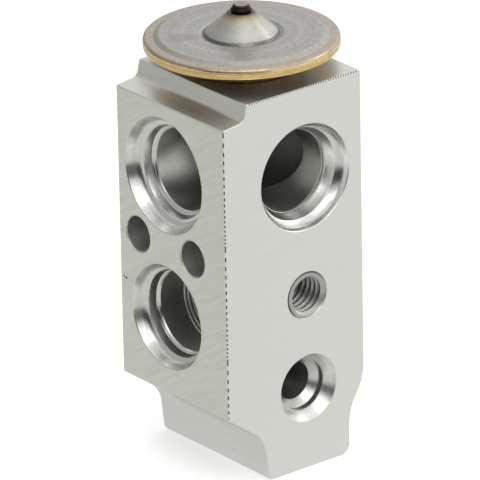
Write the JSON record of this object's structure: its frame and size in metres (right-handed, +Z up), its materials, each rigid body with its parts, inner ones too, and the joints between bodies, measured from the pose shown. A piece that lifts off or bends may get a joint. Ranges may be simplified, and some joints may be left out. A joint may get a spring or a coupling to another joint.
{
  "type": "thermal expansion valve",
  "caption": "Block-type thermal expansion valve for a vehicle air conditioner: machined aluminium block with refrigerant ports and a round sealed power head.",
  "frame": {"origin": "on the valve axis, in the plane of the block's base", "axes": "+Z up along the valve axis to the power head; the hose face looks towards -Y and the evaporator face towards -X"},
  "size_m": [0.0356, 0.0348, 0.0835],
  "materials": {
    "block_aluminium": "satin, extruded and machined",
    "head_steel": "stamped, fine concentric marks",
    "tinted_steel": "gold heat tint from welding",
    "plug_steel": "dark brown heat tint from welding",
    "spring_steel": "plain",
    "rod_steel": "ground",
    "ball_steel": "polished",
    "shaft_aluminium": "turned",
    "screw_brass": "turned",
    "seal_rubber": "smooth, dark green",
    "rod_seal_rubber": "smooth, black"
  },
  "bodies": {
    "block": {"valve_body": "block_aluminium", "head_lid": "head_steel", "head_receiver": "tinted_steel", "charge_plug": "plug_steel", "diaphragm": "spring_steel", "head_gasket": "seal_rubber", "rod_seal": "rod_seal_rubber", "seal_retainer": "spring_steel", "damping_spring": "spring_steel"},
    "valve_train": {"thrust_plate": "head_steel", "sensing_shaft": "shaft_aluminium", "push_rod": "rod_steel", "valve_ball": "ball_steel", "ball_carrier": "rod_steel"},
    "adjuster_lift": {"adjuster_seal": "seal_rubber", "bias_spring": "spring_steel"},
    "adjusting_screw": {"adjusting_screw": "screw_brass"}
  },
  "joints": [
    {"name": "valve_stroke", "type": "slide", "parent": "block", "child": "valve_train", "axis": [0, 0, -1], "range_m": [0, 0.0008], "stiffness_N_per_m": 2000, "springref_m": -0.00005, "deforming": ["bias_spring", "diaphragm"]},
    {"name": "adjuster_travel", "type": "slide", "parent": "block", "child": "adjuster_lift", "axis": [0, 0, 1], "range_m": [-0.00075, 0.00075], "deforming": ["bias_spring"]},
    {"name": "adjuster_turn", "type": "hinge", "parent": "adjuster_lift", "child": "adjusting_screw", "pos_m": [0, 0, 0.005], "axis": [0, 0, 1], "range_deg": [-270, 270]}
  ],
  "couplings": [
    {"joint": "adjuster_turn", "follows": "adjuster_travel", "rad_per_m": 6283.2}
  ]
}
